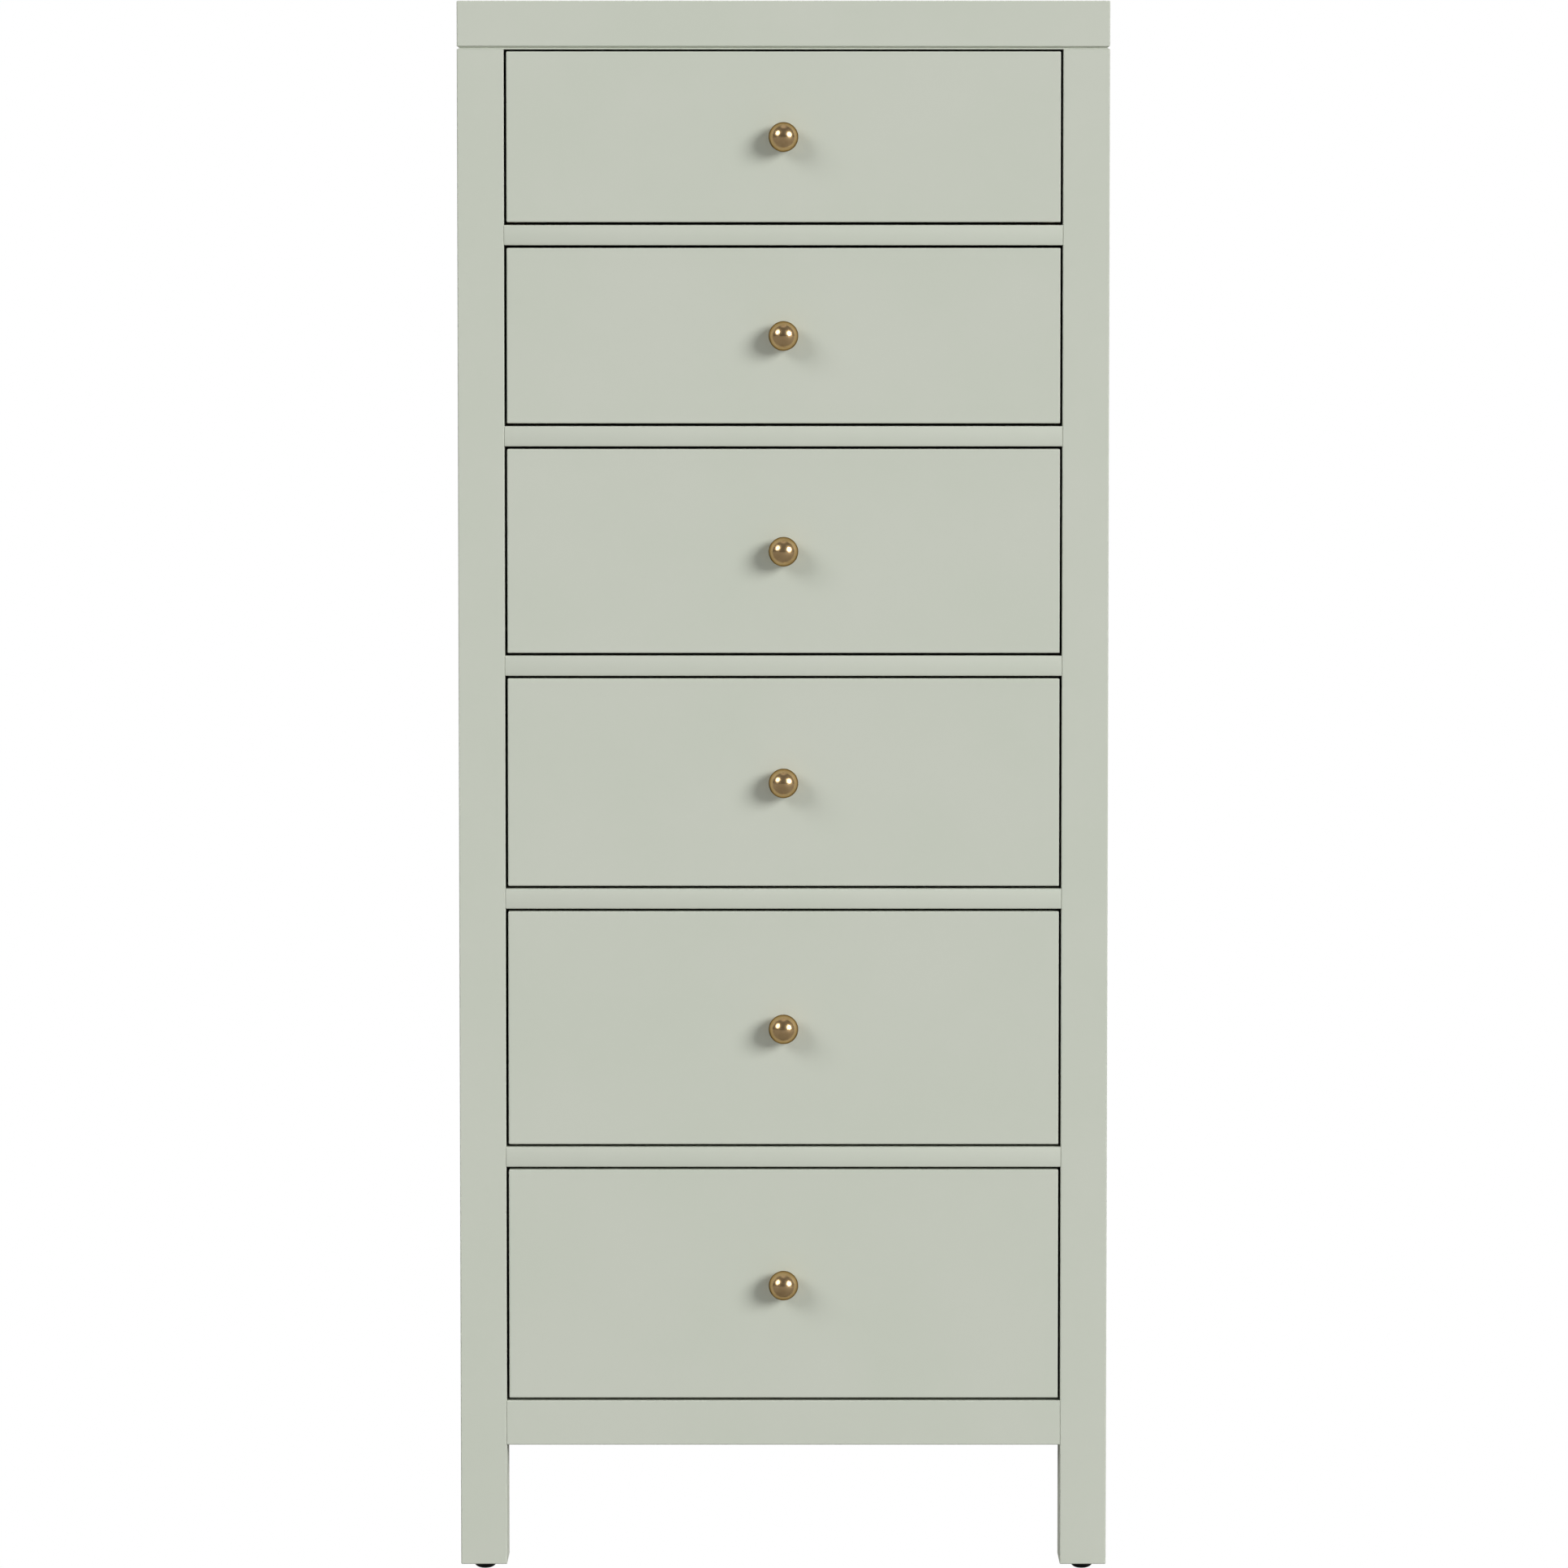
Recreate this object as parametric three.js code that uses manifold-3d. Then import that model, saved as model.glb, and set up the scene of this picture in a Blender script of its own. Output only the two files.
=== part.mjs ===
// Tall chest with six inset drawers, on four square legs with plastic glides.
// Millimetres, +Z up. The front faces -Y, and the origin is on the floor, under the
// middle of the box that holds the chest with its knobs.
import * as THREE from 'three';
import { mergeVertices } from 'three/addons/utils/BufferGeometryUtils.js';
import Module from 'manifold-3d';

const wasm = await Module();
wasm.setup();

// Overall
const WIDTH = 580;
const HEIGHT = 1408;
const CARCASS_DEPTH = 400;
const KNOB_REACH = 24.5; // how far a knob stands out from its drawer front
const PLAY = 0.3; // gap left between two pieces that touch

const FRONT_Y = KNOB_REACH / 2 - CARCASS_DEPTH / 2;
const REAR_Y = FRONT_Y + CARCASS_DEPTH;

// Carcass
const SLAB_THICK = 43;
const LEG_RISE = 7.7; // end of the legs above the floor, where the glides are
const FRONT_POST = { wide: 41.5, deep: 55 };
const REAR_POST = { wide: 28, deep: 55 };
const PANEL_THICK = 15;
const PANEL_RECESS = 7; // side panel behind the outer faces of the posts
const BACK_THICK = 5;
const BACK_REBATE = 8; // how far the back panel reaches into each rear post
const RAIL_THICK = 18;
const BOTTOM_RAIL_HIGH = 40.1;

// V-shaped groove round the lower edge of the top slab, heights above its underside
const GROOVE_DEEP = 2.6;
const GROOVE_LOW = 0.3;
const GROOVE_APEX = 1.4;
const GROOVE_HIGH = 3.1;
const OVERSHOOT = 1; // how far a cutter runs past the face it cuts
const OVERLAP = 1; // how far blocks that are joined into one solid run into each other

// Drawers, from the top one down
const FRONT_HEIGHTS = [151.5, 156.7, 182.7, 186.6, 210.3, 207.1];
const FRONT_GAP = 2; // above and below a drawer front
const FRONT_SIDE_GAP = 1.8;
const FRONT_THICK = 18;
const BOX_WIDE = 489;
const BOX_DEEP = 347; // behind the drawer front
const BOX_DROP = 10; // top edge of the box below the top edge of its front
const BOX_THICK = 12;
const BOTTOM_THICK = 5;
const BOTTOM_RISE = 10; // groove of the drawer bottom above the lower edge
const BOTTOM_GROOVE = 6;

// Knob and glides
const BALL_RADIUS = 13.2;
const GLIDE_RADIUS = 9.25;
const GLIDE_FLAT = 6;
const GLIDE_CROWN = 4.5;

// Runner frames, one under each drawer
const RUNNER_THICK = 18;
const RUNNER_WIDE = 40;
const FENCE_HIGH = 22;
const FENCE_PLAY = 1.5; // between a guide fence and the side of the drawer
const STOP = { wide: 20, deep: 14, high: 12, play: 0.6 };

// Places that follow from the sizes
const HALF = WIDTH / 2;
const SLAB_Z = HEIGHT - SLAB_THICK;
const OPENING_HALF = HALF - FRONT_POST.wide;
const REAR_GAP_HALF = HALF - REAR_POST.wide;
const POST_BACK_Y = FRONT_Y + FRONT_POST.deep;
const REAR_POST_Y = REAR_Y - REAR_POST.deep;
const PANEL_X = HALF - PANEL_RECESS - PANEL_THICK;
const BACK_Y = REAR_Y - BACK_THICK - 2 * PLAY;
const BOX_FRONT_Y = FRONT_Y + FRONT_THICK;
const BOX_BACK_Y = BOX_FRONT_Y + BOX_DEEP;
const BOX_HALF = BOX_WIDE / 2;
const BOX_INNER = BOX_HALF - BOX_THICK;
const BOTTOM_TOP = BOTTOM_RISE + BOTTOM_THICK + 2 * PLAY;

const lacquer = new THREE.MeshStandardMaterial({ color: 0xc1c5b8, roughness: 0.45, metalness: 0 });
const pine = new THREE.MeshStandardMaterial({ color: 0xdcc59c, roughness: 0.6, metalness: 0 });
const plywood = new THREE.MeshStandardMaterial({ color: 0xd3b98c, roughness: 0.65, metalness: 0 });
const brass = new THREE.MeshStandardMaterial({ color: 0xc2a878, roughness: 0.35, metalness: 0.9 });
const plastic = new THREE.MeshStandardMaterial({ color: 0x161616, roughness: 0.5, metalness: 0 });

const chest = new THREE.Group();

// Both ends of a span that is centred on zero
const across = (half) => [-half, half];

// A span on the right-hand side, or its mirror image on the left
const onSide = (side, near, far) => (side > 0 ? [near, far] : [-far, -near]);

const sides = { left: -1, right: 1 };

function addPiece(parent, name, geometry, material) {
  const mesh = new THREE.Mesh(geometry, material);
  mesh.name = name;
  parent.add(mesh);
  return mesh;
}

// A rectangular block from three spans
function block([x0, x1], [y0, y1], [z0, z1]) {
  const geometry = new THREE.BoxGeometry(x1 - x0, y1 - y0, z1 - z0);
  return geometry.translate((x0 + x1) / 2, (y0 + y1) / 2, (z0 + z1) / 2);
}

function toSolid(geometry) {
  const bare = geometry.clone();
  bare.deleteAttribute('normal');
  bare.deleteAttribute('uv');
  const merged = mergeVertices(bare, 1e-3);
  const vertProperties = merged.attributes.position.array;
  const triVerts = Uint32Array.from(merged.index.array);
  return new wasm.Manifold(new wasm.Mesh({ numProp: 3, vertProperties, triVerts }));
}

function toGeometry(solid) {
  const { vertProperties, triVerts } = solid.getMesh();
  const geometry = new THREE.BufferGeometry();
  geometry.setAttribute('position', new THREE.BufferAttribute(vertProperties, 3));
  geometry.setIndex(new THREE.BufferAttribute(triVerts, 1));
  geometry.computeVertexNormals();
  return geometry;
}

function cut(base, ...cutters) {
  const carve = (solid, cutter) => solid.subtract(toSolid(cutter));
  return toGeometry(cutters.reduce(carve, toSolid(base)));
}

function join(...pieces) {
  return toGeometry(pieces.map(toSolid).reduce((solid, piece) => solid.add(piece)));
}

// Top slab

// A bar with the section of the groove, which runs along X on the edge that faces -Y
function grooveBar(length) {
  const stretch = (GROOVE_DEEP + OVERSHOOT) / GROOVE_DEEP;
  const flankEnd = (mouth) => GROOVE_APEX + (mouth - GROOVE_APEX) * stretch;
  const section = new THREE.Shape();
  section.moveTo(-GROOVE_DEEP, GROOVE_APEX);
  section.lineTo(OVERSHOOT, flankEnd(GROOVE_LOW));
  section.lineTo(OVERSHOOT, flankEnd(GROOVE_HIGH));
  section.closePath();
  const bar = new THREE.ExtrudeGeometry(section, { depth: length, bevelEnabled: false });
  bar.translate(0, 0, -length / 2);
  bar.rotateX(Math.PI / 2);
  return bar;
}

function topSlab() {
  const board = block(across(HALF), [FRONT_Y, REAR_Y], [SLAB_Z, HEIGHT]);
  const along = 2 * WIDTH;
  const right = grooveBar(along).translate(HALF, 0, SLAB_Z);
  const left = grooveBar(along).rotateZ(Math.PI).translate(-HALF, 0, SLAB_Z);
  const front = grooveBar(along).rotateZ(-Math.PI / 2).translate(0, FRONT_Y, SLAB_Z);
  addPiece(chest, 'top_slab', cut(board, right, left, front), lacquer);
}

// Posts with legs, side panels and back panel

function postsAndPanels() {
  const postZ = [LEG_RISE, SLAB_Z - PLAY];
  const bodyZ = [SLAB_Z - PLAY - bodyHeight(), SLAB_Z - PLAY];
  for (const [name, side] of Object.entries(sides)) {
    const frontPost = block(onSide(side, OPENING_HALF, HALF), [FRONT_Y, POST_BACK_Y], postZ);
    addPiece(chest, `front_${name}_post`, frontPost, lacquer);

    const rearPost = block(onSide(side, REAR_GAP_HALF, HALF), [REAR_POST_Y, REAR_Y], postZ);
    const rebateX = onSide(side, REAR_GAP_HALF - OVERSHOOT, REAR_GAP_HALF + BACK_REBATE + PLAY);
    const rebate = block(rebateX, [BACK_Y - PLAY, REAR_Y + OVERSHOOT], [bodyZ[0] - PLAY, HEIGHT]);
    addPiece(chest, `rear_${name}_post`, cut(rearPost, rebate), lacquer);

    const panelX = onSide(side, PANEL_X, PANEL_X + PANEL_THICK);
    const panelY = [POST_BACK_Y + PLAY, REAR_POST_Y - PLAY];
    addPiece(chest, `${name}_side_panel`, block(panelX, panelY, bodyZ), lacquer);
  }
  const backX = across(REAR_GAP_HALF + BACK_REBATE);
  addPiece(chest, 'back_panel', block(backX, [BACK_Y, BACK_Y + BACK_THICK], bodyZ), lacquer);
}

// From the underside of the slab down to the lower edge of the bottom rail
function bodyHeight() {
  const openings = FRONT_HEIGHTS.reduce((sum, high) => sum + high + 2 * FRONT_GAP, 0);
  return openings + (FRONT_HEIGHTS.length - 1) * RAIL_THICK + BOTTOM_RAIL_HIGH - PLAY;
}

// Rail in front of a runner frame, under drawer number `level`
function rail(level, topZ) {
  const last = level === FRONT_HEIGHTS.length;
  const high = last ? BOTTOM_RAIL_HIGH : RAIL_THICK;
  const name = last ? 'bottom_rail' : `divider_rail_${level}`;
  const span = across(OPENING_HALF - PLAY);
  addPiece(chest, name, block(span, [FRONT_Y, POST_BACK_Y], [topZ - high, topZ]), lacquer);
}

// Runner frame: two runners with guide fences, a cross bar behind them and two drawer stops

function runnerFrame(level, railTop) {
  const top = railTop + FRONT_GAP - PLAY;
  const boardZ = [top - RUNNER_THICK, top];
  const runY = [POST_BACK_Y + PLAY, BACK_Y - PLAY];
  const besidePanelY = [runY[0], REAR_POST_Y - PLAY];
  const outer = REAR_GAP_HALF - PLAY;
  const inner = outer - RUNNER_WIDE;
  const fenceX = BOX_HALF + FENCE_PLAY;
  const stopY = BOX_BACK_Y + STOP.play;
  const pieces = [block(across(outer), [runY[1] - RUNNER_WIDE, runY[1]], boardZ)];
  for (const side of Object.values(sides)) {
    const stopX = onSide(side, inner - STOP.wide, inner);
    pieces.push(
      block(onSide(side, inner, outer), runY, boardZ),
      block(onSide(side, outer - OVERLAP, PANEL_X - PLAY), besidePanelY, boardZ),
      block(onSide(side, fenceX, outer), runY, [top - OVERLAP, top + FENCE_HIGH]),
      block(stopX, [stopY, stopY + STOP.deep], [top - OVERLAP, top + STOP.high]),
    );
  }
  addPiece(chest, `runner_frame_${level}`, join(...pieces), pine);
}

// Drawer: front, two sides, back, bottom in grooves, and a ball knob

// A ball with a flat seat, from the middle of the seat to the front
function knobProfile() {
  const centre = KNOB_REACH - BALL_RADIUS;
  const start = Math.acos((centre - PLAY) / BALL_RADIUS);
  const steps = 11;
  const profile = [new THREE.Vector2(0, PLAY)];
  for (let step = 0; step < steps; step++) {
    const angle = THREE.MathUtils.lerp(start, Math.PI, step / steps);
    const radius = BALL_RADIUS * Math.sin(angle);
    profile.push(new THREE.Vector2(radius, centre - BALL_RADIUS * Math.cos(angle)));
  }
  profile.push(new THREE.Vector2(0, KNOB_REACH));
  return profile;
}

function drawer(level, frontHeight, bottomZ) {
  const group = new THREE.Group();
  group.position.z = bottomZ;
  chest.add(group);
  const part = (name, geometry, material) =>
    addPiece(group, `drawer_${level}_${name}`, geometry, material);
  const boxTop = frontHeight - BOX_DROP;
  const grooveZ = [BOTTOM_RISE, BOTTOM_TOP];
  const grooveX = BOX_INNER + BOTTOM_GROOVE;

  const frontX = across(OPENING_HALF - FRONT_SIDE_GAP);
  const front = block(frontX, [FRONT_Y, BOX_FRONT_Y], [0, frontHeight]);
  const frontGroove = block(across(grooveX), [BOX_FRONT_Y - BOTTOM_GROOVE, BOX_FRONT_Y + OVERSHOOT], grooveZ);
  part('front', cut(front, frontGroove), lacquer);

  for (const [name, side] of Object.entries(sides)) {
    const boxY = [BOX_FRONT_Y + PLAY, BOX_BACK_Y];
    const board = block(onSide(side, BOX_INNER, BOX_HALF), boxY, [0, boxTop]);
    const grooveY = [boxY[0] - OVERSHOOT, boxY[1] + OVERSHOOT];
    const groove = block(onSide(side, BOX_INNER - OVERSHOOT, grooveX), grooveY, grooveZ);
    part(`${name}_side`, cut(board, groove), pine);
  }

  const backX = across(BOX_INNER - PLAY);
  part('back', block(backX, [BOX_BACK_Y - BOX_THICK, BOX_BACK_Y], [BOTTOM_TOP, boxTop]), pine);

  const bottomX = across(grooveX - PLAY);
  const bottomY = [BOX_FRONT_Y - BOTTOM_GROOVE + PLAY, BOX_BACK_Y - PLAY];
  part('bottom', block(bottomX, bottomY, [BOTTOM_RISE + PLAY, BOTTOM_TOP - PLAY]), plywood);

  const knob = part('knob', new THREE.LatheGeometry(knobProfile(), 24), brass);
  knob.position.set(0, FRONT_Y, frontHeight / 2);
  knob.rotation.z = Math.PI;
}

// Levels from the top down: a drawer, the runner frame that carries it, and the rail below it
function levels() {
  let openingTop = SLAB_Z;
  FRONT_HEIGHTS.forEach((frontHeight, index) => {
    const level = index + 1;
    const railTop = openingTop - frontHeight - 2 * FRONT_GAP;
    drawer(level, frontHeight, railTop + FRONT_GAP);
    runnerFrame(level, railTop);
    rail(level, railTop);
    openingTop = railTop - RAIL_THICK;
  });
}

// Glides: domed buttons with a flat foot, one under the middle of each leg

function glides() {
  const profile = [new THREE.Vector2(0, 0)];
  const steps = 4;
  for (let step = 0; step <= steps; step++) {
    const angle = (Math.PI / 2) * (step / steps);
    const radius = GLIDE_FLAT + (GLIDE_RADIUS - GLIDE_FLAT) * Math.sin(angle);
    profile.push(new THREE.Vector2(radius, GLIDE_CROWN * (1 - Math.cos(angle))));
  }
  profile.push(new THREE.Vector2(GLIDE_RADIUS, LEG_RISE - PLAY));
  profile.push(new THREE.Vector2(0, LEG_RISE - PLAY));
  const legs = {
    front: { wide: FRONT_POST.wide, y: FRONT_Y + FRONT_POST.deep / 2 },
    rear: { wide: REAR_POST.wide, y: REAR_Y - REAR_POST.deep / 2 },
  };
  for (const [end, leg] of Object.entries(legs)) {
    for (const [name, side] of Object.entries(sides)) {
      const geometry = new THREE.LatheGeometry(profile, 24);
      const glide = addPiece(chest, `${end}_${name}_glide`, geometry, plastic);
      glide.rotation.x = Math.PI / 2;
      glide.position.set(side * (HALF - leg.wide / 2), leg.y, 0);
    }
  }
}

topSlab();
postsAndPanels();
levels();
glides();

export default chest;
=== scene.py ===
"""Looks of the tall chest of drawers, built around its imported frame, in metres."""

import math

import bmesh
import bpy
from mathutils import Matrix, Vector


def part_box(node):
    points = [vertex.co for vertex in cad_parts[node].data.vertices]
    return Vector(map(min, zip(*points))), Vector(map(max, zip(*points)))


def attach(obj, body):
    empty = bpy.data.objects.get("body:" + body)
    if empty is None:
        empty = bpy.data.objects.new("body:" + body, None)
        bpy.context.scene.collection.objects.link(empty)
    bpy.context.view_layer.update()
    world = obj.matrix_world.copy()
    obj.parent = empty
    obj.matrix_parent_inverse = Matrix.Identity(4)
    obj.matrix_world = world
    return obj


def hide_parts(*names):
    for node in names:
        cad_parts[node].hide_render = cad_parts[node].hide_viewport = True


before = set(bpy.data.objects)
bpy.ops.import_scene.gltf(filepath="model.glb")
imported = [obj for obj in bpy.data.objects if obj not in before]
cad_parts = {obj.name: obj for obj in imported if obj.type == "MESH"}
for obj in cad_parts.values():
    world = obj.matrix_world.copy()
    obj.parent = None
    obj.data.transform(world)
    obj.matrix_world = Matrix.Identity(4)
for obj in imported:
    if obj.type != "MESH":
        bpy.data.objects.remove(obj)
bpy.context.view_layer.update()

MM = 0.001
LEVELS = range(1, 7)  # the drawers and their runners, from the top down
SIDES = {"left": -1, "right": 1}

# Along the grain, pine's figure changes this much more slowly than across it
GRAIN_STRETCH = 0.025

# Joints and edges
PLAY = 0.3 * MM  # gap that the CAD leaves between pieces that touch
JOINT_LINE = 0.05 * MM  # what is left of that gap at a glued joint
JOINT_EDGE = 0.25 * MM  # rounding of a rail's ends, which shows as a fine line at the post
EDGE = 1.0 * MM  # radius of the eased edges of lacquered boards
PANEL_EDGE = 0.5 * MM
THIN_EDGE = 0.3 * MM  # of the back panel and the drawer bottoms
PINE_EDGE = 0.8 * MM
NEAR = 0.1 * MM  # how far from a plane a corner may be and still count as on it
MERGE = 0.001 * MM  # points of a turned shape that are nearer than this are one point
SHARP = 1.0  # angle in radians past which an edge between two faces is an arris

# Top slab and fronts
GROOVE_DEEP = 2.6 * MM
GROOVE_APEX = 1.4 * MM  # height of the groove's deepest line above the underside
GROOVE_HIGH = 3.1 * MM
GROOVE_LIP = 0.4 * MM
TRIM_LEFT_LOW = Vector((0.5, 0, 0.5)) * MM  # off the left and lower edges of a front
TRIM_RIGHT_HIGH = Vector((0.35, 0, 0.3)) * MM  # off the right and upper edges
TOP_FRONT_RISE = 0.45 * MM  # how much nearer to the slab the top front comes

# Runner frames
RUNNER_WIDE = 40 * MM
FENCE_HIGH = 22 * MM
FENCE_PLAY = 1.5 * MM
STOP = Vector((20, 14, 12)) * MM  # size of a drawer stop
STOP_PLAY = 0.6 * MM

# Knobs: facets round the ball, and steps along its outline
KNOB_FACETS = 64
KNOB_ARC = 40
SEAT_EDGE = 0.3 * MM  # how much smaller the flat seat is than the cut through the ball

# Fittings: half outlines of (radius, height above the board) in mm, and where they go
KNOB_SCREW = [(0, 0), (6, 0), (6, 0.7), (4, 0.7), (4, 0.8), (3.6, 1.6), (2.4, 2.2)]
KNOB_SCREW += [(1.3, 2.3), (0.9, 1.3), (0, 1.2)]
COUNTERSUNK = [(0, -0.9), (3.6, -0.2), (3.6, 0), (3.3, 0.25), (1.2, 0.25), (0.5, -0.6), (0, -0.6)]
CAM = [(0, -1.9), (3, -1.8), (7.5, -0.3), (7.5, 0), (7.2, 0.3), (6, 0.3), (5.6, -0.1)]
CAM += [(2.2, -0.2), (1.4, -1.4), (0, -1.5)]
SCREW_FACETS = 24
CAM_FACETS = 32
CAM_INSET = 24 * MM  # from a cam's centre to the drawer front
FITTING_HEIGHTS = (0.28, 0.78)  # as parts of the height of a drawer side
BACK_SCREW_ROWS = 8
BACK_SCREW_INSET = 4 * MM  # from the edge of the rear post
BACK_SCREW_END = 40 * MM  # from the ends of the back panel
BAR_SCREW_RISE = 9 * MM
BAR_SCREW_APART = 120 * MM

# Glides
GLIDE_RADIUS = 9.9 * MM
GLIDE_FLAT = 2 * MM  # radius of the flat that stands on the floor
GLIDE_CROWN = 5.2 * MM
GLIDE_EDGE = 0.3 * MM
GLIDE_FACETS = 48
GLIDE_ARC = 14

# Turns that point the axis of a turned piece up, forward, back or sideways
FACING_UP = Matrix.Identity(4)
FACING_FRONT = Matrix.Rotation(math.radians(90), 4, "X")
FACING_REAR = Matrix.Rotation(math.radians(-90), 4, "X")
FACING = {side: Matrix.Rotation(math.radians(90 * side), 4, "Y") for side in SIDES.values()}

# Studio: each lamp has its azimuth, elevation and apparent width in degrees, and its watts
FLOOR_HALF = 40.0
FLOOR_DROP = 0.2 * MM
LAMP_DISTANCE = 80.0
LAMP_AIM = Vector((0, -0.185, 0.75))
LAMPS = {
    "key_right": (48, 19, 26, 56800),
    "key_left": (-51, 28.5, 30, 25900),
    "overhead": (0, 86, 30, 1920),
    "back_right": (142, 18, 60, 37000),
    "back_left": (-150, 22, 60, 23000),
}

# Camera
CAMERA_SIDE = 0.5 * MM  # how far it stands to the right of the middle
CAMERA_AWAY = 6.6387  # from the front of the slab
CAMERA_HIGH = 1.1716
CAMERA_TILT = 86.035  # degrees from looking straight down
CAMERA_LENS = 171.0
SENSOR_WIDE = 36.0


# ---------------------------------------------------------------- materials


def linear(hex_colour):
    """An sRGB hex value as linear RGBA."""
    channels = [int(hex_colour[i : i + 2], 16) / 255 for i in (1, 3, 5)]
    turned = [c / 12.92 if c <= 0.04045 else ((c + 0.055) / 1.055) ** 2.4 for c in channels]
    return (*turned, 1.0)


def add(tree, kind, links=None, values=None, **settings):
    """Adds a node; links maps its inputs to other nodes' outputs, values sets its inputs."""
    node = tree.nodes.new(kind)
    for key, value in settings.items():
        setattr(node, key, value)
    for key, value in (values or {}).items():
        node.inputs[key].default_value = value
    for key, output in (links or {}).items():
        tree.links.new(output, node.inputs[key])
    return node


def new_material(name):
    """An empty material, its node tree and its shader."""
    material = bpy.data.materials.new(name)
    material.use_nodes = True
    tree = material.node_tree
    return material, tree, tree.nodes["Principled BSDF"]


def blend_colours(tree, factor, first, second, low=0.0, high=1.0):
    """A colour that goes from first to second as factor goes from low to high."""
    ramp = add(tree, "ShaderNodeValToRGB", {"Fac": factor})
    ramp.color_ramp.elements[0].position = low
    ramp.color_ramp.elements[1].position = high
    ramp.color_ramp.elements[0].color = linear(first)
    ramp.color_ramp.elements[1].color = linear(second)
    return ramp.outputs["Color"]


def sage_lacquer():
    """Sprayed satin lacquer on sanded board: an even pale sage, with a faint cloudiness from the
    spray and a soft orange peel. Real peel is 1 to 2 mm; it is drawn at 5 mm so that it shows."""
    material, tree, shader = new_material("sage_lacquer")
    place = add(tree, "ShaderNodeTexCoord").outputs["Object"]
    cloud = add(tree, "ShaderNodeTexNoise", {"Vector": place}, {"Scale": 9, "Detail": 3})
    peel = add(tree, "ShaderNodeTexNoise", {"Vector": place}, {"Scale": 200, "Detail": 2})
    colour = blend_colours(tree, cloud.outputs["Fac"], "#c0c5b8", "#c2c6ba", 0.35, 0.65)
    tree.links.new(colour, shader.inputs["Base Color"])
    sheen = add(
        tree,
        "ShaderNodeMapRange",
        {"Value": peel.outputs["Fac"]},
        {"From Min": 0.3, "From Max": 0.7, "To Min": 0.62, "To Max": 0.70},
    )
    tree.links.new(sheen.outputs["Result"], shader.inputs["Roughness"])
    bump = add(
        tree, "ShaderNodeBump", {"Height": peel.outputs["Fac"]}, {"Strength": 0.25, "Distance": 0.05 * MM}
    )
    tree.links.new(bump.outputs["Normal"], shader.inputs["Normal"])
    return material


def pine(name, along, light="#e3cfa8", dark="#cfae7e"):
    """Planed, clear-sealed pine: growth rings cut lengthways, about 16 mm apart and drawn out
    along the board, with fine pores. `along` is the axis of the grain."""
    material, tree, shader = new_material(name)
    place = add(tree, "ShaderNodeTexCoord").outputs["Object"]
    stretch = [1.0, 1.0, 1.0]
    stretch["XYZ".index(along)] = GRAIN_STRETCH
    fibres = add(tree, "ShaderNodeMapping", {"Vector": place}, {"Scale": stretch})
    warp = add(tree, "ShaderNodeTexNoise", {"Vector": fibres.outputs[0]}, {"Scale": 14, "Detail": 3})
    bent = add(
        tree,
        "ShaderNodeVectorMath",
        {0: warp.outputs["Color"], 2: fibres.outputs[0]},
        {1: (0.05, 0.05, 0.05)},
        operation="MULTIPLY_ADD",
    )
    rings = add(
        tree,
        "ShaderNodeTexWave",
        {"Vector": bent.outputs[0]},
        {"Scale": 38, "Distortion": 2.5, "Detail": 2, "Detail Scale": 1.2},
        wave_type="BANDS",
        bands_direction="DIAGONAL",
        wave_profile="SAW",
    )
    pores = add(tree, "ShaderNodeTexNoise", {"Vector": fibres.outputs[0]}, {"Scale": 900, "Detail": 2})
    colour = blend_colours(tree, rings.outputs["Fac"], light, dark, 0.15, 1.0)
    fleck = blend_colours(tree, pores.outputs["Fac"], "#d9d2c6", "#ffffff", 0.30, 0.55)
    mixed = add(
        tree, "ShaderNodeMix", {6: colour, 7: fleck}, {0: 1.0}, data_type="RGBA", blend_type="MULTIPLY"
    )
    tree.links.new(mixed.outputs[2], shader.inputs["Base Color"])
    bump = add(
        tree, "ShaderNodeBump", {"Height": pores.outputs["Fac"]}, {"Strength": 0.3, "Distance": 0.08 * MM}
    )
    tree.links.new(bump.outputs["Normal"], shader.inputs["Normal"])
    shader.inputs["Roughness"].default_value = 0.52
    return material


def satin_brass():
    """Turned brass, polished and then lightly satined: a warm bronze gold that shows the lamps
    as soft round spots, with turning marks 0.5 mm apart."""
    material, tree, shader = new_material("satin_brass")
    place = add(tree, "ShaderNodeTexCoord").outputs["Object"]
    turned = add(tree, "ShaderNodeMapping", {"Vector": place}, {"Scale": (60, 2000, 60)})
    marks = add(tree, "ShaderNodeTexNoise", {"Vector": turned.outputs[0]}, {"Scale": 1, "Detail": 2})
    stain = add(tree, "ShaderNodeTexNoise", {"Vector": place}, {"Scale": 160, "Detail": 3})
    colour = blend_colours(tree, stain.outputs["Fac"], "#cfae80", "#dab98b", 0.35, 0.65)
    tree.links.new(colour, shader.inputs["Base Color"])
    satin = add(
        tree,
        "ShaderNodeMapRange",
        {"Value": marks.outputs["Fac"]},
        {"From Min": 0.3, "From Max": 0.7, "To Min": 0.20, "To Max": 0.27},
    )
    tree.links.new(satin.outputs["Result"], shader.inputs["Roughness"])
    bump = add(
        tree, "ShaderNodeBump", {"Height": marks.outputs["Fac"]}, {"Strength": 0.1, "Distance": 0.01 * MM}
    )
    tree.links.new(bump.outputs["Normal"], shader.inputs["Normal"])
    shader.inputs["Metallic"].default_value = 1.0
    shader.inputs["Specular Tint"].default_value = linear("#6a5f4e")
    return material


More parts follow.
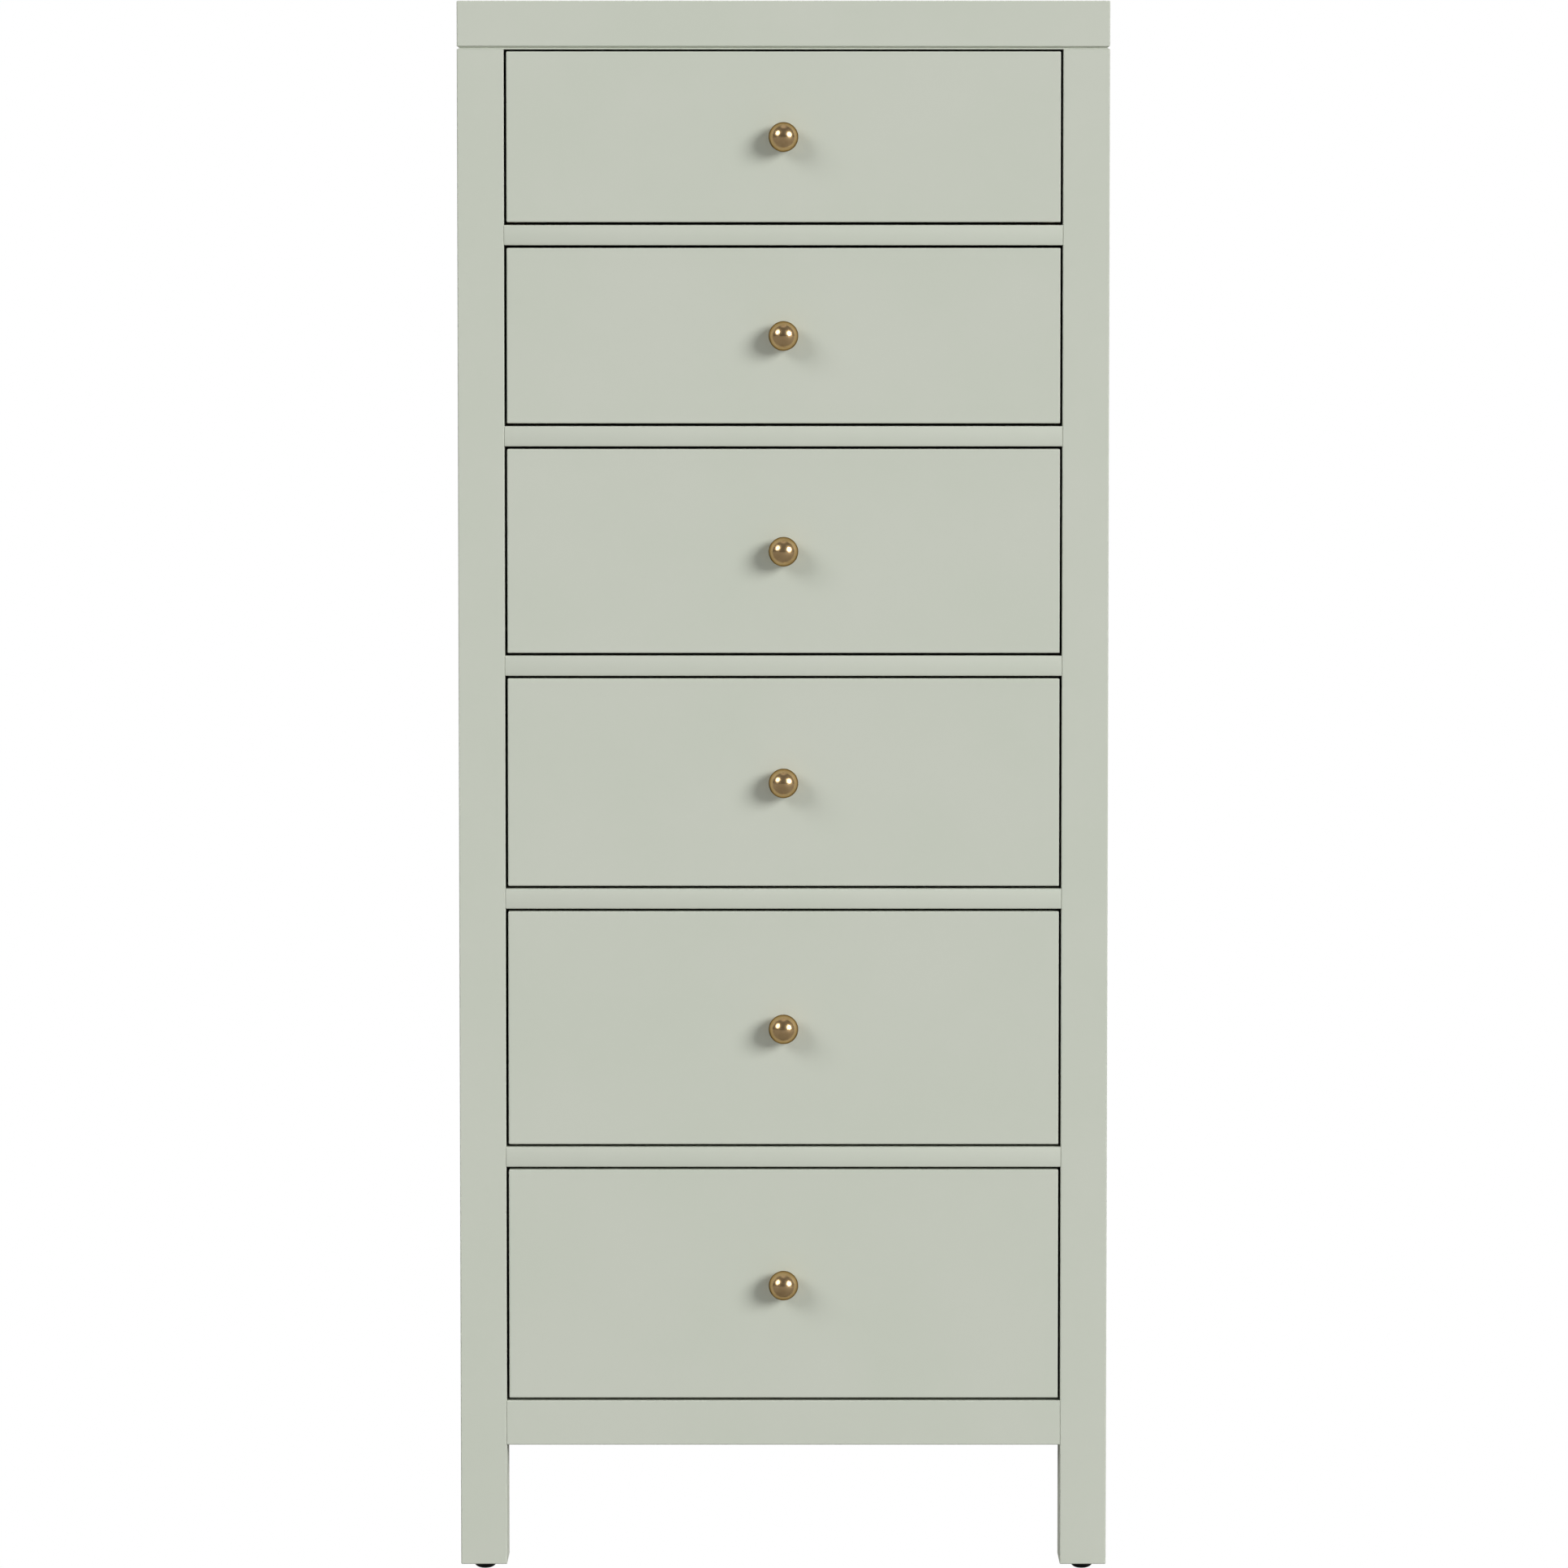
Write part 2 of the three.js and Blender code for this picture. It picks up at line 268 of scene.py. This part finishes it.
def moulded_plastic():
    """Black polyethylene, injection moulded: near black, dull, with a 0.6 mm spark-eroded grain."""
    material, tree, shader = new_material("black_plastic")
    place = add(tree, "ShaderNodeTexCoord").outputs["Object"]
    grain = add(tree, "ShaderNodeTexNoise", {"Vector": place}, {"Scale": 1600, "Detail": 2})
    colour = blend_colours(tree, grain.outputs["Fac"], "#111112", "#1c1c1d", 0.35, 0.65)
    tree.links.new(colour, shader.inputs["Base Color"])
    bump = add(
        tree, "ShaderNodeBump", {"Height": grain.outputs["Fac"]}, {"Strength": 0.5, "Distance": 0.05 * MM}
    )
    tree.links.new(bump.outputs["Normal"], shader.inputs["Normal"])
    shader.inputs["Roughness"].default_value = 0.38
    return material


def zinc_plate():
    """Zinc-plated steel, as on furniture screws and cams: a cool grey, slightly blotchy."""
    material, tree, shader = new_material("zinc_plate")
    place = add(tree, "ShaderNodeTexCoord").outputs["Object"]
    blotch = add(tree, "ShaderNodeTexNoise", {"Vector": place}, {"Scale": 500, "Detail": 3})
    colour = blend_colours(tree, blotch.outputs["Fac"], "#b9bbbb", "#d3d4d2", 0.35, 0.65)
    tree.links.new(colour, shader.inputs["Base Color"])
    rough = add(
        tree,
        "ShaderNodeMapRange",
        {"Value": blotch.outputs["Fac"]},
        {"From Min": 0.3, "From Max": 0.7, "To Min": 0.28, "To Max": 0.42},
    )
    tree.links.new(rough.outputs["Result"], shader.inputs["Roughness"])
    shader.inputs["Metallic"].default_value = 1.0
    return material


LACQUER = sage_lacquer()
PINE_Y = pine("pine_along_depth", "Y")
PINE_X = pine("pine_along_width", "X")
PLYWOOD = pine("birch_plywood", "X", "#e2cfab", "#d8c094")
BRASS = satin_brass()
PLASTIC = moulded_plastic()
ZINC = zinc_plate()


# ------------------------------------------------------------------- pieces


def finish_piece(bm, name, body, material, nodes=(), smooth=False):
    """Makes the mesh an object that rides on its body and stands for the given nodes."""
    mesh = bpy.data.meshes.new(name)
    for face in bm.faces:
        face.smooth = smooth
    bm.to_mesh(mesh)
    bm.free()
    mesh.materials.append(material)
    piece = bpy.data.objects.new(name, mesh)
    bpy.context.scene.collection.objects.link(piece)
    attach(piece, body)
    if nodes:
        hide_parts(*nodes)


def block(bm, low, high):
    """Adds a rectangular block between two corners."""
    low, high = Vector(low), Vector(high)
    size = Matrix.Diagonal((*(high - low), 1.0))
    place = Matrix.Translation((low + high) / 2)
    bmesh.ops.create_cube(bm, size=1.0, matrix=place @ size)


def ease(bm, edges, radius=EDGE, segments=3):
    """Rounds edges over, as sanding does."""
    bmesh.ops.bevel(
        bm,
        geom=list(edges),
        offset=radius,
        offset_type="OFFSET",
        segments=segments,
        profile=0.5,
        affect="EDGES",
        material=-1,
        clamp_overlap=True,
    )


def board(node, body, material, radius=EDGE):
    """A plain board with eased edges in the place of a CAD node."""
    bm = bmesh.new()
    block(bm, *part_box(node))
    ease(bm, bm.edges, radius)
    finish_piece(bm, f"{node}_shown", body, material, [node])


def pull(bm, faces, move, keep=False):
    """Extrudes faces along a vector and returns the moved faces; keep leaves the old ones too."""
    made = bmesh.ops.extrude_face_region(bm, geom=faces, use_keep_orig=keep)["geom"]
    if not keep:
        bmesh.ops.delete(bm, geom=faces, context="FACES_ONLY")
    bmesh.ops.translate(bm, vec=move, verts=[v for v in made if isinstance(v, bmesh.types.BMVert)])
    return [f for f in made if isinstance(f, bmesh.types.BMFace)]


def profile_bar(bm, points, axis, low, high):
    """Extrudes an outline, given in the two other axes, from low to high along an axis."""
    index = "XYZ".index(axis)
    corners = []
    for point in points:
        place = list(point)
        place.insert(index, low)
        corners.append(bm.verts.new(place))
    move = Vector((0, 0, 0))
    move[index] = high - low
    pull(bm, [bm.faces.new(corners)], move, keep=True)
    bmesh.ops.recalc_face_normals(bm, faces=bm.faces)


def top_slab():
    """The top board: layers of its outline, drawn in at the apex of the V-groove at the front
    and at both sides, and a flat rear edge."""
    low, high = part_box("top_slab")
    bm = bmesh.new()
    block(bm, low, high)
    for rise in (GROOVE_APEX, GROOVE_HIGH):
        geometry = [*bm.verts, *bm.edges, *bm.faces]
        bmesh.ops.bisect_plane(bm, geom=geometry, plane_co=(0, 0, low.z + rise), plane_no=(0, 0, 1))
    for vert in bm.verts:
        if abs(vert.co.z - low.z - GROOVE_APEX) < NEAR:
            vert.co.x -= math.copysign(GROOVE_DEEP, vert.co.x)
            if vert.co.y < 0:
                vert.co.y += GROOVE_DEEP
    groove_top = low.z + GROOVE_HIGH
    lip = [e for e in bm.edges if all(abs(v.co.z - groove_top) < NEAR for v in e.verts)]
    ease(bm, lip, GROOVE_LIP, 2)
    upper = [e for e in bm.edges if max(v.co.z for v in e.verts) > high.z - MM]
    ease(bm, [e for e in upper if e.calc_face_angle(0) > SHARP])
    finish_piece(bm, "top_slab_shown", "carcass", LACQUER, ["top_slab"])


def front_post(name):
    """A front post that runs up to the slab, with a square upper end that leaves no line there."""
    node = f"front_{name}_post"
    low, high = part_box(node)
    high.z += PLAY - JOINT_LINE
    bm = bmesh.new()
    block(bm, low, high)
    ease(bm, [edge for edge in bm.edges if min(vert.co.z for vert in edge.verts) < high.z - MM])
    finish_piece(bm, f"{node}_shown", "carcass", LACQUER, [node])


def on_box(edge, low, high, tolerance=1e-6):
    """Whether an edge lies on one of the twelve edges of a box."""
    flat = 0
    for index in range(3):
        values = [vert.co[index] for vert in edge.verts]
        flat += any(all(abs(v - corner[index]) < tolerance for v in values) for corner in (low, high))
    return flat >= 2


def ease_box(bm, low, high, radius):
    """Rounds over only the outer edges of a board that has grooves or a rebate."""
    ease(bm, [edge for edge in bm.edges if on_box(edge, low, high)], radius)


def ordered(*corners):
    """Two corners with each pair of coordinates in rising order."""
    return [tuple(pick(values) for values in zip(*corners)) for pick in (min, max)]


def rear_post(name, side):
    """A rear post: a leg of full section, and above it the rebate that takes the back panel."""
    node = f"rear_{name}_post"
    low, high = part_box(node)
    high.z += PLAY - JOINT_LINE
    panel_low, panel_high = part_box("back_panel")
    inner, outer = (low.x, high.x) if side > 0 else (high.x, low.x)
    step_x = (panel_high.x if side > 0 else panel_low.x) + side * PLAY
    step_y = panel_low.y - PLAY
    bm = bmesh.new()
    outline = [
        (inner, low.y),
        (outer, low.y),
        (outer, high.y),
        (step_x, high.y),
        (step_x, step_y),
        (inner, step_y),
    ]
    verts = [bm.verts.new((x, y, low.z)) for x, y in outline]
    corner = bm.verts.new((inner, high.y, low.z))
    post = bm.faces.new(verts)
    strip = bm.faces.new([verts[5], verts[4], verts[3], corner])
    leg_top = panel_low.z - PLAY
    leg = pull(bm, [post, strip], (0, 0, leg_top - low.z), keep=True)
    pull(bm, [f for f in leg if len(f.verts) == len(outline)], (0, 0, high.z - leg_top))
    bmesh.ops.recalc_face_normals(bm, faces=bm.faces)
    ease_box(bm, low, high, EDGE)
    finish_piece(bm, f"{node}_shown", "carcass", LACQUER, [node])


def runs_across(edge):
    """Whether an edge runs along X, the width of the chest."""
    return abs(edge.verts[0].co.x - edge.verts[1].co.x) > MM


def rail(node):
    """A rail that runs up to the posts on both sides, with a fine line left at each joint. The
    corner normals of a divider rail are blended, which gives it the slight crown of a hand-sanded
    one."""
    low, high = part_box(node)
    reach = Vector((PLAY - JOINT_LINE, 0, 0))
    low, high = low - reach, high + reach
    bm = bmesh.new()
    block(bm, low, high)
    ease(bm, [edge for edge in bm.edges if runs_across(edge)])
    ease(bm, [edge for edge in bm.edges if not runs_across(edge)], JOINT_EDGE, 5)
    crowned = node != "bottom_rail"
    finish_piece(bm, f"{node}_shown", "carcass", LACQUER, [node], smooth=crowned)


def carcass():
    """Everything lacquered that doesn't move."""
    top_slab()
    for name, side in SIDES.items():
        front_post(name)
        rear_post(name, side)
        board(f"{name}_side_panel", "carcass", LACQUER, PANEL_EDGE)
    board("back_panel", "carcass", LACQUER, THIN_EDGE)
    rail("bottom_rail")
    for level in LEVELS[:-1]:
        rail(f"divider_rail_{level}")


def timber(name, low, high, material, nodes=()):
    """A plain piece of pine in the carcass."""
    bm = bmesh.new()
    block(bm, *ordered(low, high))
    ease(bm, bm.edges, PINE_EDGE, 2)
    finish_piece(bm, name, "carcass", material, nodes)


def runner_frame(level):
    """The frame that carries a drawer: on each side a runner with a guide fence on it, and at the
    back a cross bar with two drawer stops in front of it."""
    node = f"runner_frame_{level}"
    low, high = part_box(node)
    top = high.z - FENCE_HIGH
    rear_post_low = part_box("rear_right_post")[0]
    side_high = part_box(f"drawer_{level}_right_side")[1]
    outer = rear_post_low.x - PLAY
    inner = outer - RUNNER_WIDE
    fence_x = side_high.x + FENCE_PLAY
    bar_end = inner - JOINT_LINE
    bar = (-bar_end, high.y - RUNNER_WIDE, low.z), (bar_end, high.y, top)
    timber(f"{node}_cross_bar", *bar, PINE_X, [node])
    on_runner = top + JOINT_LINE
    for name, side in SIDES.items():
        outline = [
            (side * inner, low.y),
            (side * high.x, low.y),
            (side * high.x, rear_post_low.y - PLAY),
            (side * outer, rear_post_low.y - PLAY),
            (side * outer, high.y),
            (side * inner, high.y),
        ]
        bm = bmesh.new()
        profile_bar(bm, outline, "Z", low.z, top)
        ease(bm, bm.edges, PINE_EDGE, 2)
        finish_piece(bm, f"{node}_{name}_runner", "carcass", PINE_Y, [node])
        fence = (side * fence_x, low.y, on_runner), (side * outer, high.y, high.z)
        timber(f"{node}_{name}_fence", *fence, PINE_Y)
        stop_front = (side * (inner - STOP.x), side_high.y + STOP_PLAY, on_runner)
        stop_rear = (side * inner, side_high.y + STOP_PLAY + STOP.y, top + STOP.z)
        timber(f"{node}_{name}_stop", stop_front, stop_rear, PINE_Y)


def lathe(bm, outline, place, turn, facets):
    """Spins an outline of (radius, height) points about Z, then turns and moves it."""
    verts = [bm.verts.new((radius, 0, height)) for radius, height in outline]
    edges = [bm.edges.new(pair) for pair in zip(verts, verts[1:])]
    bmesh.ops.spin(
        bm,
        geom=verts + edges,
        cent=(0, 0, 0),
        axis=(0, 0, 1),
        angle=2 * math.pi,
        steps=facets,
        use_merge=True,
    )
    bmesh.ops.remove_doubles(bm, verts=bm.verts, dist=MERGE)
    bmesh.ops.recalc_face_normals(bm, faces=bm.faces)
    bmesh.ops.transform(bm, matrix=Matrix.Translation(place) @ turn, verts=bm.verts)


def knob(level):
    """Ball knob that sits on its front with a small flat seat."""
    node = f"drawer_{level}_knob"
    low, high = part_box(node)
    reach = high.y - low.y
    radius = (high.x - low.x) / 2
    centre = reach - radius
    start = math.acos(centre / radius)
    outline = [(0, 0), (radius * math.sin(start) - SEAT_EDGE, 0)]
    for step in range(KNOB_ARC + 1):
        angle = start + (math.pi - start) * step / KNOB_ARC
        outline.append((radius * math.sin(angle), centre - radius * math.cos(angle)))
    outline[-1] = (0, reach)
    bm = bmesh.new()
    middle = (low + high) / 2
    lathe(bm, outline, (middle.x, high.y, middle.z), FACING_FRONT, KNOB_FACETS)
    finish_piece(bm, f"{node}_shown", f"drawer_{level}", BRASS, [node], smooth=True)


def fitting(bm, outline, place, turn, facets=SCREW_FACETS):
    """Adds a turned fitting with an outline in mm to the others in a bmesh."""
    turned = bmesh.new()
    lathe(turned, [(radius * MM, height * MM) for radius, height in outline], place, turn, facets)
    mesh = bpy.data.meshes.new("fitting")
    turned.to_mesh(mesh)
    turned.free()
    bm.from_mesh(mesh)
    bpy.data.meshes.remove(mesh)


def drawer_hardware(level):
    """The screw and washer that hold the knob, the cam fittings that hold the front to the sides,
    and the screws that hold the sides to the back."""
    body = f"drawer_{level}"
    knob_low, knob_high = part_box(f"{body}_knob")
    front_back_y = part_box(f"{body}_front")[1].y
    back_low, back_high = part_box(f"{body}_back")
    side_low, side_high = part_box(f"{body}_right_side")
    knob_screw, cams, screws = bmesh.new(), bmesh.new(), bmesh.new()
    middle = (0, front_back_y, (knob_low.z + knob_high.z) / 2)
    fitting(knob_screw, KNOB_SCREW, middle, FACING_REAR)
    back_y = (back_low.y + back_high.y) / 2
    for side in SIDES.values():
        for part in FITTING_HEIGHTS:
            z = side_low.z + (side_high.z - side_low.z) * part
            cam_place = (side * side_low.x, side_low.y + CAM_INSET, z)
            fitting(cams, CAM, cam_place, FACING[-side], CAM_FACETS)
            fitting(screws, COUNTERSUNK, (side * side_high.x, back_y, z), FACING[side])
    finish_piece(knob_screw, f"{body}_knob_screw", body, ZINC)
    finish_piece(cams, f"{body}_cam_fittings", body, ZINC)
    finish_piece(screws, f"{body}_corner_screws", body, ZINC)


def back_screws():
    """Screws down both edges of the back panel into the rear posts, and into the cross bars."""
    low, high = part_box("back_panel")
    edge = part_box("rear_right_post")[0].x + BACK_SCREW_INSET
    first, last = low.z + BACK_SCREW_END, high.z - BACK_SCREW_END
    bm = bmesh.new()
    for row in range(BACK_SCREW_ROWS):
        z = first + (last - first) * row / (BACK_SCREW_ROWS - 1)
        for side in SIDES.values():
            fitting(bm, COUNTERSUNK, (side * edge, high.y, z), FACING_REAR)
    for level in LEVELS:
        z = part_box(f"runner_frame_{level}")[0].z + BAR_SCREW_RISE
        for x in (-BAR_SCREW_APART, 0, BAR_SCREW_APART):
            fitting(bm, COUNTERSUNK, (x, high.y, z), FACING_REAR)
    finish_piece(bm, "back_panel_screws", "carcass", ZINC)


def glide(node):
    """Domed glide with a small flat foot, pushed up against the end of the leg."""
    low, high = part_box(node)
    tall = high.z - low.z
    outline = [(0, 0)]
    for step in range(GLIDE_ARC + 1):
        angle = math.pi / 2 * step / GLIDE_ARC
        across = GLIDE_FLAT + (GLIDE_RADIUS - GLIDE_FLAT) * math.sin(angle)
        outline.append((across, GLIDE_CROWN * (1 - math.cos(angle))))
    outline += [(GLIDE_RADIUS, tall - GLIDE_EDGE), (GLIDE_RADIUS - GLIDE_EDGE, tall), (0, tall)]
    bm = bmesh.new()
    middle = (low + high) / 2
    lathe(bm, outline, (middle.x, middle.y, low.z), FACING_UP, GLIDE_FACETS)
    finish_piece(bm, f"{node}_shown", "carcass", PLASTIC, [node], smooth=True)


def drawer_front(level):
    """A drawer front, trimmed for its gap, with a stopped groove in its back for the drawer
    bottom. The top one is a little taller, so that it closes up to the slab."""
    node = f"drawer_{level}_front"
    low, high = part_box(node)
    low, high = low + TRIM_LEFT_LOW, high - TRIM_RIGHT_HIGH
    if level == LEVELS[0]:
        high.z += TOP_FRONT_RISE
    bottom_low, bottom_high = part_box(f"drawer_{level}_bottom")
    bm = bmesh.new()
    block(bm, low, high)
    reach = bottom_high.x + PLAY
    groove_low, groove_high = bottom_low.z - PLAY, bottom_high.z + PLAY
    cuts = [((x, 0, 0), (1, 0, 0)) for x in (-reach, reach)]
    cuts += [((0, 0, z), (0, 0, 1)) for z in (groove_low, groove_high)]
    for place, normal in cuts:
        geometry = [*bm.verts, *bm.edges, *bm.faces]
        bmesh.ops.bisect_plane(bm, geom=geometry, plane_co=place, plane_no=normal)
    back = [(face, face.calc_center_median()) for face in bm.faces if face.normal.y > 0.9]
    mouth = [face for face, at in back if abs(at.x) < reach and groove_low < at.z < groove_high]
    pull(bm, mouth, (0, bottom_low.y - PLAY - high.y, 0))
    bmesh.ops.recalc_face_normals(bm, faces=bm.faces)
    ease_box(bm, low, high, EDGE)
    finish_piece(bm, f"{node}_shown", f"drawer_{level}", LACQUER, [node])


def drawer_side(level, name, side):
    """A drawer side with a groove along its inner face for the drawer bottom."""
    node = f"drawer_{level}_{name}_side"
    low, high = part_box(node)
    bottom_low, bottom_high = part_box(f"drawer_{level}_bottom")
    inner, outer = (low.x, high.x) if side > 0 else (high.x, low.x)
    groove_x = side * (bottom_high.x + PLAY)
    groove_low, groove_high = bottom_low.z - PLAY, bottom_high.z + PLAY
    outline = [
        (outer, low.z),
        (outer, high.z),
        (inner, high.z),
        (inner, groove_high),
        (groove_x, groove_high),
        (groove_x, groove_low),
        (inner, groove_low),
        (inner, low.z),
    ]
    bm = bmesh.new()
    profile_bar(bm, outline, "Y", low.y, high.y)
    ease_box(bm, low, high, PINE_EDGE)
    finish_piece(bm, f"{node}_shown", f"drawer_{level}", PINE_Y, [node])


def drawer(level):
    """One drawer with its front, box, knob and fittings."""
    body = f"drawer_{level}"
    drawer_front(level)
    for name, side in SIDES.items():
        drawer_side(level, name, side)
    board(f"{body}_back", body, PINE_X, PINE_EDGE)
    board(f"{body}_bottom", body, PLYWOOD, THIN_EDGE)
    knob(level)
    drawer_hardware(level)


carcass()
for level in LEVELS:
    runner_frame(level)
    drawer(level)
back_screws()
for end in ("front", "rear"):
    for name in SIDES:
        glide(f"{end}_{name}_glide")


# ----------------------------------------------------------- studio and camera


def floor():
    """A plain pale floor: white where it is looked at, and a mid grey in what it lights."""
    material, tree, shader = new_material("floor_paper")
    shader.inputs["Base Color"].default_value = linear("#989896")
    shader.inputs["Roughness"].default_value = 0.9
    looked_at = add(tree, "ShaderNodeLightPath").outputs["Is Camera Ray"]
    white = add(tree, "ShaderNodeEmission", values={"Color": linear("#ffffff"), "Strength": 1.0})
    mix = add(tree, "ShaderNodeMixShader", {0: looked_at, 1: shader.outputs[0], 2: white.outputs[0]})
    tree.links.new(mix.outputs[0], tree.nodes["Material Output"].inputs["Surface"])
    bm = bmesh.new()
    bmesh.ops.create_grid(bm, x_segments=1, y_segments=1, size=FLOOR_HALF)
    mesh = bpy.data.meshes.new("floor")
    bm.to_mesh(mesh)
    bm.free()
    mesh.materials.append(material)
    plane = bpy.data.objects.new("floor", mesh)
    plane.location.z = -FLOOR_DROP
    bpy.context.scene.collection.objects.link(plane)


def lamp(name, azimuth, elevation, width, power):
    """A round soft lamp; azimuth 0 is straight in front and 90 is on the right."""
    turn, rise = math.radians(azimuth), math.radians(elevation)
    towards = Vector((math.sin(turn) * math.cos(rise), -math.cos(turn) * math.cos(rise), math.sin(rise)))
    light = bpy.data.lights.new(name, "AREA")
    light.shape = "DISK"
    light.size = 2 * LAMP_DISTANCE * math.tan(math.radians(width / 2))
    light.energy = power
    lamp_object = bpy.data.objects.new(name, light)
    lamp_object.location = LAMP_AIM + towards * LAMP_DISTANCE
    lamp_object.rotation_euler = towards.to_track_quat("Z", "Y").to_euler()
    lamp_object.visible_camera = False
    bpy.context.scene.collection.objects.link(lamp_object)


def studio():
    """White surroundings that light the chest a little, more from above, and the lamps."""
    world = bpy.data.worlds.new("studio")
    bpy.context.scene.world = world
    world.use_nodes = True
    tree = world.node_tree
    direction = add(tree, "ShaderNodeTexCoord").outputs["Generated"]
    height = add(tree, "ShaderNodeSeparateXYZ", {0: direction}).outputs["Z"]
    glow = add(
        tree,
        "ShaderNodeMapRange",
        {"Value": height},
        {"From Min": -0.1, "From Max": 1.0, "To Min": 0.115, "To Max": 0.19},
    )
    looked_at = add(tree, "ShaderNodeLightPath").outputs["Is Camera Ray"]
    strength = add(
        tree, "ShaderNodeMix", {0: looked_at, 2: glow.outputs["Result"]}, {3: 1.0}, data_type="FLOAT"
    )
    background = tree.nodes["Background"]
    background.inputs["Color"].default_value = (1, 1, 1, 1)
    tree.links.new(strength.outputs[0], background.inputs["Strength"])
    for name, setting in LAMPS.items():
        lamp(name, *setting)


def camera():
    """The camera stands in front, above the middle, and looks slightly down."""
    lens = bpy.data.cameras.new("camera")
    lens.lens = CAMERA_LENS
    lens.sensor_width = SENSOR_WIDE
    view = bpy.data.objects.new("camera", lens)
    view.location = (CAMERA_SIDE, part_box("top_slab")[0].y - CAMERA_AWAY, CAMERA_HIGH)
    view.rotation_euler = (math.radians(CAMERA_TILT), 0, 0)
    bpy.context.scene.collection.objects.link(view)
    bpy.context.scene.camera = view


floor()
studio()
camera()
bpy.context.scene.view_settings.view_transform = "Standard"
